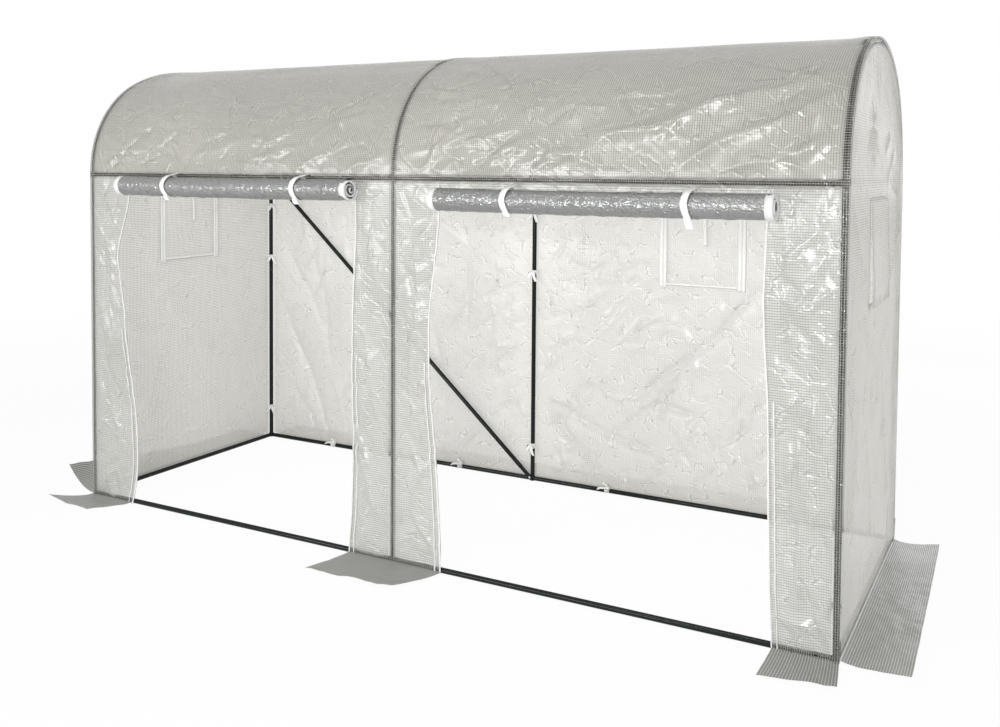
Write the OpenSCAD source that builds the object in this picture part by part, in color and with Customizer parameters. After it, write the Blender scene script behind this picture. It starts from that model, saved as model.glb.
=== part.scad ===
// Walk-in tunnel greenhouse: a tube frame of three hoops under a reinforced film cover.
// X runs along the length, the front with its two doorways faces -Y and Z is up.
// The origin is the middle of the frame's footprint, on the ground.

/* [Frame] */
// Distance between the centres of neighbouring hoops
bay_length = 1500; // [1200:10:2000]
// Distance between the centres of the front and back posts
frame_depth = 1090; // [960:10:1240]
// Height of the eave tubes' centres above the ground
eave_height = 1345; // [1300:5:1600]
// Outside diameter of the frame tubes
tube_d = 19; // [16:0.5:22]
// Wall of the frame tubes
tube_wall = 1; // [0.8:0.1:1.5]
// Length of the spigots that go into the tubes' ends
spigot_length = 40; // [20:1:60]
// Length of the spigots that go into the ends of the bent tubes
arch_spigot_length = 12; // [6:1:14]
// Room between a spigot and the bore round it
spigot_gap = 0.3; // [0.1:0.1:0.5]
// Diameter of the ball that rounds the connector blocks' corners
block_ball_d = 29; // [27.5:0.5:32]

/* [Arches] */
// Bend radius of the shoulders, at the tube's centre line
shoulder_radius = 415; // [300:5:480]
// Bend radius of the crown, at the tube's centre line
crown_radius = 690; // [640:5:900]
// Flat steps that the film takes round each shoulder
shoulder_steps = 22; // [16:1:40]
// Flat steps that the film takes over each half of the crown
crown_steps = 9; // [8:1:20]

/* [Brace] */
// Distance from the bolt at each end of the brace to the round tube
lug_length = 70; // [50:1:120]
// Width of the flattened ends of the brace
lug_width = 18; // [17.5:0.1:18.5]
// Thickness of the flattened ends of the brace
lug_thickness = 3; // [2:0.5:6]
// Length of the flattened ends inside the round tube
lug_overlap = 20; // [10:1:40]
// Room between the brace's ends and the blocks that they are bolted to
lug_gap = 0.3; // [0.1:0.1:0.6]

/* [Cover] */
// Thickness of the film
film_t = 2.5; // [2:0.1:4]
// Room between the film and the tubes that it lies on
film_gap = 0.3; // [0.2:0.1:0.6]
// Width of the film beside each front corner post, from the post's centre
corner_strip = 210; // [120:5:300]
// Width of the film in front of the middle post
middle_strip = 356; // [200:2:500]
// Width of the flaps that lie on the ground round the foot of the cover
skirt_width = 190; // [100:5:300]

/* [Doors] */
// Diameter of a rolled-up door
roll_d = 80; // [70:1:100]
// Diameter of the open core of a roll
roll_core_d = 16; // [10:1:30]
// Distance between the turns of a roll
roll_pitch = 3.7; // [3.2:0.1:5]
// Distance from the eave tubes down to the centre of the left roll
left_roll_drop = 40; // [35:1:120]
// Distance from the eave tubes down to the centre of the right roll
right_roll_drop = 65; // [35:1:120]
// Distance of the roll ties from the ends of the rolls
roll_tie_inset = 260; // [100:10:400]
// Width of the webbing that holds a roll up
roll_tie_width = 22; // [10:1:40]

/* [Windows] */
// Width of the window openings
window_width = 310; // [200:10:400]
// Height of the window openings
window_height = 300; // [200:10:400]
// Distance from the eave tubes down to the middle of the back windows
back_window_drop = 270; // [230:5:500]
// Distance of the back windows from the middle hoop
back_window_x = 755; // [400:5:900]
// Distance from the eave tubes down to the middle of the end windows
end_window_drop = 217; // [180:1:500]
// Lap of the window flaps over the film round them
flap_lap = 22; // [10:1:40]

/* [Ties] */
// Thickness of the webbing of all ties
tie_t = 1.5; // [1:0.1:3]
// Width of the webbing of the cover's ties
tie_width = 12; // [6:1:25]
// Room between a tie and what it holds
tie_gap = 0.6; // [0.4:0.1:1]
// Height of the lowest ties on the posts
low_tie_height = 160; // [60:10:400]
// Distances from the eave tubes down to the other ties on the posts
post_tie_drops = [415, 155]; // [60:5:600]
// Distance between the ties on the back sill
sill_tie_step = 727; // [500:1:800]

/* [Hidden] */
$fn = 96;

// Frame
tube_r = tube_d / 2;
tube_bore = tube_d - 2 * tube_wall;
block_r = tube_r;
spigot_d = tube_bore - 2 * spigot_gap;
spigot_root = 1;
post_y = frame_depth / 2;
sill_z = block_r;

// Half arches: upright where they leave the eave blocks, level where they reach the ridge blocks.
// The shoulder and the crown share one tangent where the radius changes.
spring_z = eave_height + block_r;
shoulder_y = post_y - shoulder_radius;
crown_lead = crown_radius - shoulder_radius;
crown_drop = sqrt(pow(crown_lead, 2) - pow(shoulder_y - block_r, 2));
crown_centre_z = spring_z - crown_drop;
crown_z = crown_centre_z + crown_radius;
change_angle = atan2(crown_drop, shoulder_y - block_r);

// Cover, measured from the tubes' centres to the faces of the film
film_in = tube_r + film_gap;
film_out = film_in + film_t;
end_in = bay_length + film_in;
end_out = bay_length + film_out;
wall_in = post_y + film_in;
wall_out = post_y + film_out;
door_inner_x = middle_strip / 2;
door_outer_x = bay_length - corner_strip;

// Windows and ties
back_window_z = eave_height - back_window_drop;
end_window_z = eave_height - end_window_drop;
post_tie_z = concat([low_tie_height], [for (drop = post_tie_drops) eave_height - drop]);

// Rolls
roll_r = roll_d / 2;
roll_y = -wall_in - roll_r;
left_roll_z = eave_height - left_roll_drop;
right_roll_z = eave_height - right_roll_drop;
half_turns = floor((roll_d - roll_core_d) / roll_pitch);

// Brace, from the eave of the left hoop to the foot of the middle one
brace_y = post_y - block_r - lug_gap - lug_thickness / 2;
brace_length = norm([bay_length, eave_height - sill_z]);
brace_angle = atan2(bay_length, sill_z - eave_height);

// Excess of a cutting shape past the face that it cuts
cut = 1;

frame_green = [0.03, 0.05, 0.04];
film_white = [0.86, 0.87, 0.86, 0.6];
film_grey = [0.62, 0.63, 0.62];
tape_white = [0.95, 0.95, 0.94];

// Straight tube between two points
module tube(from, to) {
    run = to - from;
    length = norm(run);
    color(frame_green)
        translate(from)
            rotate([0, acos(run.z / length), atan2(run.y, run.x)])
                difference() {
                    cylinder(d = tube_d, h = length);
                    translate([0, 0, -cut])
                        cylinder(d = tube_bore, h = length + 2 * cut);
                }
}

// Tube along X between the blocks of two neighbouring hoops
module bay_tube(side, y, z) {
    tube([side * block_r, y, z], [side * (bay_length - block_r), y, z]);
}

// Tube along Y between the feet of an end hoop
module end_sill(side) {
    tube([side * bay_length, -post_y + block_r, sill_z], [side * bay_length, post_y - block_r, sill_z]);
}

// Upright tube from a foot to the eave
module post(x, side) {
    tube([x, side * post_y, sill_z + block_r], [x, side * post_y, eave_height - block_r]);
}

// Bent stretch of tube, from the X axis round by an angle
module bend(radius, sweep) {
    rotate_extrude(angle = sweep)
        translate([radius, 0])
            difference() {
                circle(d = tube_d);
                circle(d = tube_bore);
            }
}

// Half of an arch, from the back eave up to the ridge, drawn from the point where its radius changes
module half_arch() {
    translate([0, shoulder_y, spring_z])
        rotate([90, 0, 90])
            rotate([0, 0, change_angle]) {
                bend(shoulder_radius, -change_angle);
                translate([-crown_lead, 0, 0])
                    bend(crown_radius, 90 - change_angle);
            }
}

// Both halves of the arch over one hoop
module arch(x) {
    color(frame_green)
        translate([x, 0, 0])
            for (turn = [0, 1])
                mirror([0, turn, 0])
                    half_arch();
}

// Block with rounded corners, and a spigot for each straight and each bent tube that meets there
module connector(at, ways, arch_ways = []) {
    color(frame_green)
        translate(at) {
            intersection() {
                cube(2 * block_r, center = true);
                sphere(d = block_ball_d);
            }
            for (way = ways)
                spigot(way, spigot_length);
            for (way = arch_ways)
                spigot(way, arch_spigot_length);
        }
}

// Spigot that stands on a face of a block
module spigot(way, length) {
    rotate([0, acos(way.z), atan2(way.y, way.x)])
        translate([0, 0, block_r - spigot_root])
            cylinder(d = spigot_d, h = spigot_root + length);
}

// Ways along X from a hoop to its neighbours
function bay_ways(hoop) = [
    if (hoop > -1) [-1, 0, 0],
    if (hoop < 1) [1, 0, 0]
];

module sill_connectors() {
    for (hoop = [-1, 0, 1], side = [-1, 1]) {
        end_way = hoop == 0 ? [] : [[0, -side, 0]];
        connector([hoop * bay_length, side * post_y, sill_z], concat(bay_ways(hoop), end_way, [[0, 0, 1]]));
    }
}

module eave_connectors() {
    for (hoop = [-1, 0, 1], side = [-1, 1])
        connector(
            [hoop * bay_length, side * post_y, eave_height],
            concat(bay_ways(hoop), [[0, 0, -1]]),
            [[0, 0, 1]]
        );
}

module ridge_connectors() {
    for (hoop = [-1, 0, 1])
        connector([hoop * bay_length, 0, crown_z], bay_ways(hoop), [[0, -1, 0], [0, 1, 0]]);
}

// Flattened end of the brace, with its bolt at the origin and the tube along +Z
module lug() {
    rotate([90, 0, 0])
        linear_extrude(lug_thickness, center = true) {
            circle(d = lug_width);
            translate([-lug_width / 2, 0])
                square([lug_width, lug_length + lug_overlap]);
        }
}

module back_brace() {
    color(frame_green)
        translate([-bay_length, brace_y, eave_height])
            rotate([0, brace_angle, 0]) {
                tube([0, 0, lug_length], [0, 0, brace_length - lug_length]);
                lug();
                translate([0, 0, brace_length])
                    rotate([0, 180, 0])
                        lug();
            }
}

// Places a shape drawn in the plane across the greenhouse, and draws it out along X
module along_x(from, to) {
    translate([from, 0, 0])
        rotate([90, 0, 90])
            linear_extrude(to - from)
                children();
}

// Slab between two corners
module slab(low, high) {
    translate(low)
        cube(high - low);
}

// Points along an arc, without its last one
function arc(centre, radius, from, to, steps) = [
    for (i = [0 : steps - 1])
        centre + radius * [cos(from + (to - from) * i / steps), sin(from + (to - from) * i / steps)]
];

// Line at a distance outside the arch tubes' centres, from the back eave over the crown to the front eave
function half_arch_line(off) = concat(
    arc([shoulder_y, spring_z], shoulder_radius + off, 0, change_angle, shoulder_steps),
    arc([block_r, crown_centre_z], crown_radius + off, change_angle, 90, crown_steps),
    [[block_r, crown_z + off]]
);
function reversed(points) = [for (i = [len(points) - 1 : -1 : 0]) points[i]];
function mirrored(points) = [for (p = points) [-p.x, p.y]];
function arch_line(off) = concat(half_arch_line(off), reversed(mirrored(half_arch_line(off))));

module roof_sheet() {
    color(film_white)
        along_x(-end_in, end_in)
            polygon(concat(arch_line(film_out), reversed(arch_line(film_in))));
}

// Outline of an opening in the middle of an end wall
module end_window_outline() {
    translate([-window_width / 2, end_window_z - window_height / 2])
        square([window_width, window_height]);
}

module end_sheet(side) {
    near = side < 0 ? -end_out : end_in;
    color(film_white)
        along_x(near, near + film_t)
            difference() {
                polygon(concat([[wall_out, 0]], arch_line(film_out), [[-wall_out, 0]]));
                end_window_outline();
            }
}

// Slab as large as the opening of a back window plus a lap all round, in a layer of the back wall
module back_window_slab(side, near, far, lap) {
    slab(
        [side * back_window_x - window_width / 2 - lap, near, back_window_z - window_height / 2 - lap],
        [side * back_window_x + window_width / 2 + lap, far, back_window_z + window_height / 2 + lap]
    );
}

module back_wall_sheet() {
    color(film_white)
        difference() {
            slab([-end_in, wall_in, 0], [end_in, wall_out, spring_z]);
            for (side = [-1, 1])
                back_window_slab(side, wall_in - cut, wall_out + cut, 0);
        }
}

// Flat piece of the front between two places along X and two heights
module front_film(from_x, to_x, from_z, to_z) {
    color(film_white)
        slab([from_x, -wall_out, from_z], [to_x, -wall_in, to_z]);
}

// Half of one turn of a roll, lower or upper
module half_turn(outer, upper) {
    intersection() {
        difference() {
            circle(outer);
            circle(outer - film_t);
        }
        translate([-roll_d, upper ? 0 : -roll_d])
            square([2 * roll_d, roll_d]);
    }
}

// A rolled-up door: half turns that shrink towards the core, each picking up where the last one ends
module door_roll(from_x, to_x, z) {
    color(film_grey)
        along_x(from_x, to_x)
            translate([roll_y, z])
                for (i = [0 : half_turns - 1]) {
                    upper = i % 2 == 1;
                    translate([upper ? -roll_pitch / 2 : 0, 0])
                        half_turn(roll_r - i * roll_pitch / 2, upper);
                }
}

// Webbing round a roll, sewn to the header over it
module roll_tie(x, z) {
    hold_r = roll_r + tie_gap;
    along_x(x - roll_tie_width / 2, x + roll_tie_width / 2)
        translate([roll_y, z])
            difference() {
                circle(hold_r + tie_t);
                circle(hold_r);
                translate([roll_r - film_t, -roll_d])
                    square([roll_d, 2 * roll_d]);
            }
}

module door_ties() {
    color(tape_white)
        for (x = [door_inner_x + roll_tie_inset, door_outer_x - roll_tie_inset]) {
            roll_tie(-x, left_roll_z);
            roll_tie(x, right_roll_z);
        }
}

module front_skirts() {
    color(film_grey)
        for (span = [[-end_out, -door_outer_x], [-door_inner_x, door_inner_x], [door_outer_x, end_out]])
            slab([span[0], -wall_out - skirt_width, 0], [span[1], -wall_out, film_t]);
}

module back_skirt() {
    color(film_grey)
        slab([-end_out, wall_out, 0], [end_out, wall_out + skirt_width, film_t]);
}

module end_skirt(side) {
    near = side < 0 ? -end_out - skirt_width : end_out;
    color(film_grey)
        slab([near, -wall_out, 0], [near + skirt_width, wall_out, film_t]);
}

module back_windows() {
    color(film_white)
        for (side = [-1, 1])
            back_window_slab(side, wall_out, wall_out + film_t, flap_lap);
}

module end_window(side) {
    near = side < 0 ? -end_out - film_t : end_out;
    low = end_window_z - window_height / 2 - flap_lap;
    color(film_white)
        slab(
            [near, -window_width / 2 - flap_lap, low],
            [near + film_t, window_width / 2 + flap_lap, low + window_height + 2 * flap_lap]
        );
}

// Loop of webbing round a tube along Z, open towards a corner between two flat faces
module tie_loop() {
    hold_r = tube_r + tie_gap;
    linear_extrude(tie_width, center = true)
        difference() {
            circle(hold_r + tie_t);
            circle(hold_r);
            square(tube_d);
        }
}

// Shapes repeated at the mirrored places along one or both ways across the plan
module mirrored_places(ways) {
    for (x = ways.x, y = ways.y)
        mirror([x, 0, 0])
            mirror([0, y, 0])
                children();
}

// Every loop is cut off where it meets the film or the ground
module cover_ties() {
    color(tape_white)
        intersection() {
            union() {
                mirrored_places([[0, 1], [0, 1]])
                    for (z = post_tie_z)
                        translate([bay_length, post_y, z])
                            tie_loop();
                mirrored_places([[0], [0, 1]])
                    for (z = post_tie_z)
                        translate([0, post_y, z])
                            tie_loop();
                mirrored_places([[0, 1], [0]])
                    for (step = [0.5, 1.5])
                        translate([step * sill_tie_step, post_y, sill_z])
                            rotate([0, 90, 0])
                                tie_loop();
            }
            slab([-end_in, -wall_in, 0], [end_in, wall_in, spring_z]);
        }
}

bay_tube(-1, -post_y, sill_z);  // front_left_sill
bay_tube(1, -post_y, sill_z);  // front_right_sill
bay_tube(-1, post_y, sill_z);  // back_left_sill
bay_tube(1, post_y, sill_z);  // back_right_sill
end_sill(-1);  // left_end_sill
end_sill(1);  // right_end_sill
post(-bay_length, -1);  // front_left_post
post(0, -1);  // front_middle_post
post(bay_length, -1);  // front_right_post
post(-bay_length, 1);  // back_left_post
post(0, 1);  // back_middle_post
post(bay_length, 1);  // back_right_post
bay_tube(-1, -post_y, eave_height);  // front_left_eave
bay_tube(1, -post_y, eave_height);  // front_right_eave
bay_tube(-1, post_y, eave_height);  // back_left_eave
bay_tube(1, post_y, eave_height);  // back_right_eave
bay_tube(-1, 0, crown_z);  // left_ridge
bay_tube(1, 0, crown_z);  // right_ridge
arch(-bay_length);  // left_arch
arch(0);  // middle_arch
arch(bay_length);  // right_arch
back_brace();
sill_connectors();
eave_connectors();
ridge_connectors();
roof_sheet();
back_wall_sheet();
end_sheet(-1);  // left_end_sheet
end_sheet(1);  // right_end_sheet
front_film(-end_in, -door_outer_x, 0, spring_z);  // front_left_strip
front_film(-door_inner_x, door_inner_x, 0, spring_z);  // front_middle_strip
front_film(door_outer_x, end_in, 0, spring_z);  // front_right_strip
front_film(-door_outer_x, -door_inner_x, left_roll_z, spring_z);  // left_door_header
front_film(door_inner_x, door_outer_x, right_roll_z, spring_z);  // right_door_header
door_roll(-door_outer_x, -door_inner_x, left_roll_z);  // left_door_roll
door_roll(door_inner_x, door_outer_x, right_roll_z);  // right_door_roll
door_ties();
front_skirts();
back_skirt();
end_skirt(-1);  // left_skirt
end_skirt(1);  // right_skirt
back_windows();
end_window(-1);  // left_window
end_window(1);  // right_window
cover_ties();
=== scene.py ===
import math

import bmesh
import bpy
import numpy as np
from mathutils import Matrix, Vector, noise


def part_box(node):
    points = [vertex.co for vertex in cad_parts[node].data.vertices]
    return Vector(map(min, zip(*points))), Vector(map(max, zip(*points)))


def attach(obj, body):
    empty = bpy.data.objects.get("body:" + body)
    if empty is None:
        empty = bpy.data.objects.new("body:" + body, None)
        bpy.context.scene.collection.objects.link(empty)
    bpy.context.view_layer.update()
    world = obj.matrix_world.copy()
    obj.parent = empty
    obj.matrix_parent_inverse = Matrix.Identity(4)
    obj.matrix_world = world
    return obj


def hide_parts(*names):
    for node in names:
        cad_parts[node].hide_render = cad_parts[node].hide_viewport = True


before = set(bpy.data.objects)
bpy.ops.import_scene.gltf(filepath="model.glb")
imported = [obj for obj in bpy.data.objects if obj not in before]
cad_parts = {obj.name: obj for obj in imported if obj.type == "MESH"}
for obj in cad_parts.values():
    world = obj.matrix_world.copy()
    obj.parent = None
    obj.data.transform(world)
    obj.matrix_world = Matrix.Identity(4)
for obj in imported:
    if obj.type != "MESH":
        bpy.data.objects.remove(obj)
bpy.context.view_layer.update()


def centre(node):
    low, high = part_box(node)
    return (low + high) / 2


# Places read from the frame, in metres
HOOP_X = centre("front_right_post").x
POST_Y = centre("back_right_post").y
EAVE_Z = centre("back_left_eave").z
RIDGE_Z = centre("left_ridge").z
TUBE_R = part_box("left_ridge")[1].y
FILM_Y = centre("back_wall_sheet").y
END_X = centre("right_end_sheet").x
SPRING_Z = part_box("back_wall_sheet")[1].z
SILL_Z = centre("back_left_sill").z
FILM_OFF = FILM_Y - POST_Y
HOOPS = (-HOOP_X, 0, HOOP_X)

# Bends of the arches, at the tubes' centres
SHOULDER_RADIUS = 0.415
CROWN_RADIUS = 0.690
CHANGE = math.acos((POST_Y - SHOULDER_RADIUS - TUBE_R) / (CROWN_RADIUS - SHOULDER_RADIUS))

# Bends of the film over the arches
CROWN = CROWN_RADIUS + FILM_OFF
SHOULDER = SHOULDER_RADIUS + FILM_OFF
CROWN_ARC = CROWN * (math.pi / 2 - CHANGE)
SHOULDER_ARC = SHOULDER * CHANGE

# Film: the pitch of its reinforcing threads, and the size of a sheet's cells
THREAD_PITCH = 0.0076
THREAD_WIDTH = 0.0018
CELL = 0.008
# Depth of the creases, as a share of their size
CREASE_DEPTH = 0.08
# How far from a tube's centre line the film is clear, and how soon it is milky again beyond that
CLEAR_REACH = 0.0145
CLEAR_FADE = 0.006
# Height of the film's foot over the floor
FOOT_Z = 0.001


# Shader nodes

def feed(tree, node, inputs):
    """Gives each input of a node its value, or a link where the value is a socket."""
    for socket, value in inputs.items():
        if isinstance(value, bpy.types.NodeSocket):
            tree.links.new(value, node.inputs[socket])
        else:
            node.inputs[socket].default_value = value


def new_node(tree, kind, inputs=None, **settings):
    made = tree.nodes.new(kind)
    for name, value in settings.items():
        setattr(made, name, value)
    feed(tree, made, inputs or {})
    return made


def calc(tree, operation, a, b=0.0):
    return new_node(tree, "ShaderNodeMath", {0: a, 1: b}, operation=operation).outputs[0]


def times(tree, a, b):
    return calc(tree, "MULTIPLY", a, b)


def ramp(tree, value, low, high, to_low=0.0, to_high=1.0):
    """Smooth step of a value from one range to another."""
    inputs = {"Value": value, "From Min": low, "From Max": high, "To Min": to_low, "To Max": to_high}
    return new_node(tree, "ShaderNodeMapRange", inputs, interpolation_type="SMOOTHSTEP").outputs[0]


def mix_value(tree, share, a, b):
    return new_node(tree, "ShaderNodeMix", {0: share, 2: a, 3: b}, data_type="FLOAT").outputs[0]


def mix_colour(tree, share, a, b):
    return new_node(tree, "ShaderNodeMix", {0: share, 6: a, 7: b}, data_type="RGBA").outputs[2]


def new_group(name, inputs, outputs):
    """A shader node group, with the sockets that its nodes read and the node that they write to."""
    tree = bpy.data.node_groups.new(name, "ShaderNodeTree")
    for socket, kind in inputs:
        tree.interface.new_socket(socket, in_out="INPUT", socket_type="NodeSocket" + kind)
    for socket in outputs:
        tree.interface.new_socket(socket, in_out="OUTPUT", socket_type="NodeSocketFloat")
    return tree, tree.nodes.new("NodeGroupInput").outputs, tree.nodes.new("NodeGroupOutput")


def use_group(tree, group, inputs):
    return new_node(tree, "ShaderNodeGroup", inputs, node_tree=group).outputs


def noise_of(tree, place, scale, detail, **settings):
    inputs = {"Vector": place, "Scale": scale, "Detail": detail}
    return new_node(tree, "ShaderNodeTexNoise", inputs, **settings).outputs


def vector_calc(tree, operation, inputs):
    return new_node(tree, "ShaderNodeVectorMath", inputs, operation=operation).outputs[0]


def thread_group():
    """Square lattice of reinforcing threads on a sheet's flat pattern."""
    sockets = [("Flat", "Vector"), ("Pitch", "Float"), ("Width", "Float")]
    tree, given, out = new_group("reinforcing_threads", sockets, ["Across", "Along", "Threads"])
    flat = new_node(tree, "ShaderNodeSeparateXYZ", {0: given["Flat"]}).outputs
    edge = times(tree, given["Width"], 0.3)
    end = times(tree, given["Width"], 0.7)
    lines = []
    for axis in ("X", "Y"):
        cells = calc(tree, "DIVIDE", flat[axis], given["Pitch"])
        near = calc(tree, "PINGPONG", cells, 0.5)
        away = times(tree, near, given["Pitch"])
        lines.append(ramp(tree, away, edge, end, 1.0, 0.0))
    feed(tree, out, {"Across": lines[0], "Along": lines[1], "Threads": calc(tree, "MAXIMUM", *lines)})
    return tree


def crease_group():
    """Creases of crumpled film: a height that dips along broken, branching lines, the lines themselves for
    painted shade, bands along them for a painted highlight and random tones of the facets between them for
    painted shade."""
    outputs = ["Height", "Lines", "PaintedRidgeHighlight", "PaintedFacetShade", "Crumple"]
    tree, given, out = new_group("creases", [("Flat", "Vector"), ("Size", "Float")], outputs)
    scale = calc(tree, "DIVIDE", 1.0, given["Size"])
    cloud = noise_of(tree, given["Flat"], scale, 2.0, noise_dimensions="2D")
    centred = vector_calc(tree, "SUBTRACT", {0: cloud["Color"], 1: (0.5, 0.5, 0.5)})
    reach = times(tree, given["Size"], 0.9)
    sway = vector_calc(tree, "SCALE", {0: centred, "Scale": reach})
    bent = vector_calc(tree, "ADD", {0: given["Flat"], 1: sway})
    inputs = {"Vector": bent, "Rotation": (0, 0, 0.9), "Scale": (0.75, 1.9, 1)}
    drawn = new_node(tree, "ShaderNodeMapping", inputs, vector_type="TEXTURE").outputs[0]
    inputs = {"Vector": drawn, "Scale": scale}
    edges, cells = (new_node(tree, "ShaderNodeTexVoronoi", inputs, voronoi_dimensions="2D", feature=feature)
                    for feature in ("DISTANCE_TO_EDGE", "F1"))
    away = edges.outputs["Distance"]
    creased = ramp(tree, cloud["Fac"], 0.40, 0.62)
    dips = mix_value(tree, creased, 1.0, ramp(tree, away, 0.0, 0.20))
    line = ramp(tree, away, 0.0, 0.035, 1.0, 0.0)
    # A band along each crease line, where a painted highlight goes
    beside = times(tree, ramp(tree, away, 0.04, 0.08), ramp(tree, away, 0.08, 0.18, 1.0, 0.0))
    # A random tone for each facet, for painted shade
    facet_shade_mask = new_node(tree, "ShaderNodeSeparateXYZ", {0: cells.outputs["Color"]}).outputs["X"]
    feed(tree, out, {"Height": dips, "Crumple": cloud["Fac"]})
    for name, mask in (("Lines", line), ("PaintedRidgeHighlight", beside), ("PaintedFacetShade", facet_shade_mask)):
        feed(tree, out, {name: times(tree, mask, creased)})
    return tree


def haze_group():
    """Cloudy patches, from 0 to 1, as dust and handling leave them."""
    tree, given, out = new_group("haze", [("Place", "Vector"), ("Size", "Float")], ["Haze"])
    scale = calc(tree, "DIVIDE", 1.0, given["Size"])
    cloud = noise_of(tree, given["Place"], scale, 2.0)
    feed(tree, out, {"Haze": ramp(tree, cloud["Fac"], 0.3, 0.7)})
    return tree


THREADS = thread_group()
CREASES = crease_group()
HAZE = haze_group()


def new_material(name):
    """A material with its tree, its shader and the places that its patterns are drawn on."""
    made = bpy.data.materials.new(name)
    made.use_nodes = True
    tree = made.node_tree
    place = tree.nodes.new("ShaderNodeTexCoord").outputs["Object"]
    return made, tree, tree.nodes["Principled BSDF"], place


def finish_surface(tree, shader, colour, rough, height, depth, strength):
    """Gives a surface its colour, roughness and bump. Returns the bumped normal."""
    inputs = {"Height": height, "Distance": depth, "Strength": strength}
    normal = new_node(tree, "ShaderNodeBump", inputs).outputs[0]
    feed(tree, shader, {"Base Color": colour, "Roughness": rough, "Normal": normal})
    return normal


def haze_on(tree, place, size):
    return use_group(tree, HAZE, {"Place": place, "Size": size})["Haze"]


def shade(tint, share):
    """A tint made darker or paler, up to the palest film."""
    return (*(min(share * c, 0.90) for c in tint), 1)


def show_mixed(tree, share, first, second):
    both = new_node(tree, "ShaderNodeMixShader", {0: share, 1: first, 2: second}).outputs[0]
    tree.links.new(both, tree.nodes["Material Output"].inputs["Surface"])


def let_light_through(tree, shader, colour, normal, share):
    """Lets a thin sheet pass on part of the light from its other side."""
    lit = new_node(tree, "ShaderNodeBsdfTranslucent", {"Color": colour, "Normal": normal})
    show_mixed(tree, share, shader.outputs[0], lit.outputs[0])


def film_material(name, tint, thread_tint, lines, cover, creases, roughness, glow, metallic=0.0):
    """Milky film over a lattice of threads, clear only where it lies on a tube.

    lines is how strong the threads show across and along, and cover how much hides on a tube, between the
    threads and on them. creases is their size, strength, crumple and the painted shade that darkens their
    lines, and glow the share of light that comes through."""
    size, strength, crumple, painted_crease_shade = creases
    made, tree, shader, place = new_material(name)
    flat = new_node(tree, "ShaderNodeUVMap", uv_map="flat").outputs[0]
    on_tube = new_node(tree, "ShaderNodeAttribute", attribute_name="touch").outputs["Fac"]
    lattice = use_group(tree, THREADS, {"Flat": flat, "Pitch": THREAD_PITCH, "Width": THREAD_WIDTH})
    creased = use_group(tree, CREASES, {"Flat": flat, "Size": size})
    haze = haze_on(tree, place, 0.35)
    across = times(tree, lattice["Across"], lines[0])
    along = times(tree, lattice["Along"], lines[1])
    shown = calc(tree, "MAXIMUM", across, along)
    clouded = mix_colour(tree, haze, shade(tint, 0.9), (*tint, 1))
    # Painted shade on some facets, a painted highlight along the creases and painted shade darkening the
    # crease lines
    facet_shaded_colour = mix_colour(tree, times(tree, creased["PaintedFacetShade"], 0.7), clouded, shade(tint, 0.78))
    ridge_lit_colour = mix_colour(tree, creased["PaintedRidgeHighlight"], facet_shaded_colour, shade(tint, 1.2))
    crease_shaded_colour = mix_colour(tree, creased["Lines"], ridge_lit_colour, shade(tint, 1 - painted_crease_shade))
    colour = mix_colour(tree, shown, crease_shaded_colour, (*thread_tint, 1))
    clear = times(tree, on_tube, mix_value(tree, haze_on(tree, place, 0.10), 0.93, 1.0))
    between = mix_value(tree, clear, cover[1], cover[0])
    see = mix_value(tree, lattice["Threads"], between, cover[2])
    crumpled = calc(tree, "ADD", creased["Height"], times(tree, creased["Crumple"], crumple))
    height = calc(tree, "ADD", crumpled, times(tree, lattice["Threads"], 0.15))
    rough = mix_value(tree, haze, roughness, roughness + 0.10)
    normal = finish_surface(tree, shader, colour, rough, height, CREASE_DEPTH * size, strength)
    feed(tree, shader, {"Alpha": see, "Specular IOR Level": 0.9, "Metallic": metallic})
    if glow:
        let_light_through(tree, shader, (0.86, 0.85, 0.81, 1), normal, glow)
    return made


def tube_material():
    """Dark green powder coat with a fine orange peel and a few scuffs."""
    made, tree, shader, place = new_material("dark green powder coat")
    peel = noise_of(tree, place, 420.0, 2.0)["Fac"]
    worn = ramp(tree, noise_of(tree, place, 38.0, 8.0)["Fac"], 0.62, 0.72)
    colour = mix_colour(tree, worn, (0.004, 0.007, 0.006, 1), (0.016, 0.022, 0.019, 1))
    finish_surface(tree, shader, colour, mix_value(tree, worn, 0.13, 0.40), peel, 0.0004, 0.25)
    shader.inputs["Specular IOR Level"].default_value = 0.22
    return made


def block_material():
    """Black moulded plastic with a fine grain, paler where it has been rubbed."""
    made, tree, shader, place = new_material("black moulded plastic")
    grain = noise_of(tree, place, 900.0, 3.0)["Fac"]
    haze = haze_on(tree, place, 0.02)
    colour = mix_colour(tree, haze, (0.010, 0.011, 0.011, 1), (0.022, 0.024, 0.023, 1))
    finish_surface(tree, shader, colour, mix_value(tree, haze, 0.38, 0.52), grain, 0.0003, 0.35)
    return made


def webbing_material(name, tint, pitch, glow):
    """White woven webbing, ribbed on its flat pattern. glow is the share of light that comes through."""
    made, tree, shader, place = new_material(name)
    flat = new_node(tree, "ShaderNodeUVMap", uv_map="flat").outputs[0]
    weave = use_group(tree, THREADS, {"Flat": flat, "Pitch": pitch, "Width": pitch * 0.7})
    haze = haze_on(tree, place, 0.06)
    ribs = mix_colour(tree, weave["Threads"], shade(tint, 0.86), (*tint, 1))
    colour = mix_colour(tree, times(tree, haze, 0.25), ribs, shade(tint, 0.86))
    rough = mix_value(tree, haze, 0.55, 0.7)
    normal = finish_surface(tree, shader, colour, rough, weave["Threads"], 0.0005, 0.5)
    let_light_through(tree, shader, (*tint, 1), normal, glow)
    return made


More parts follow.
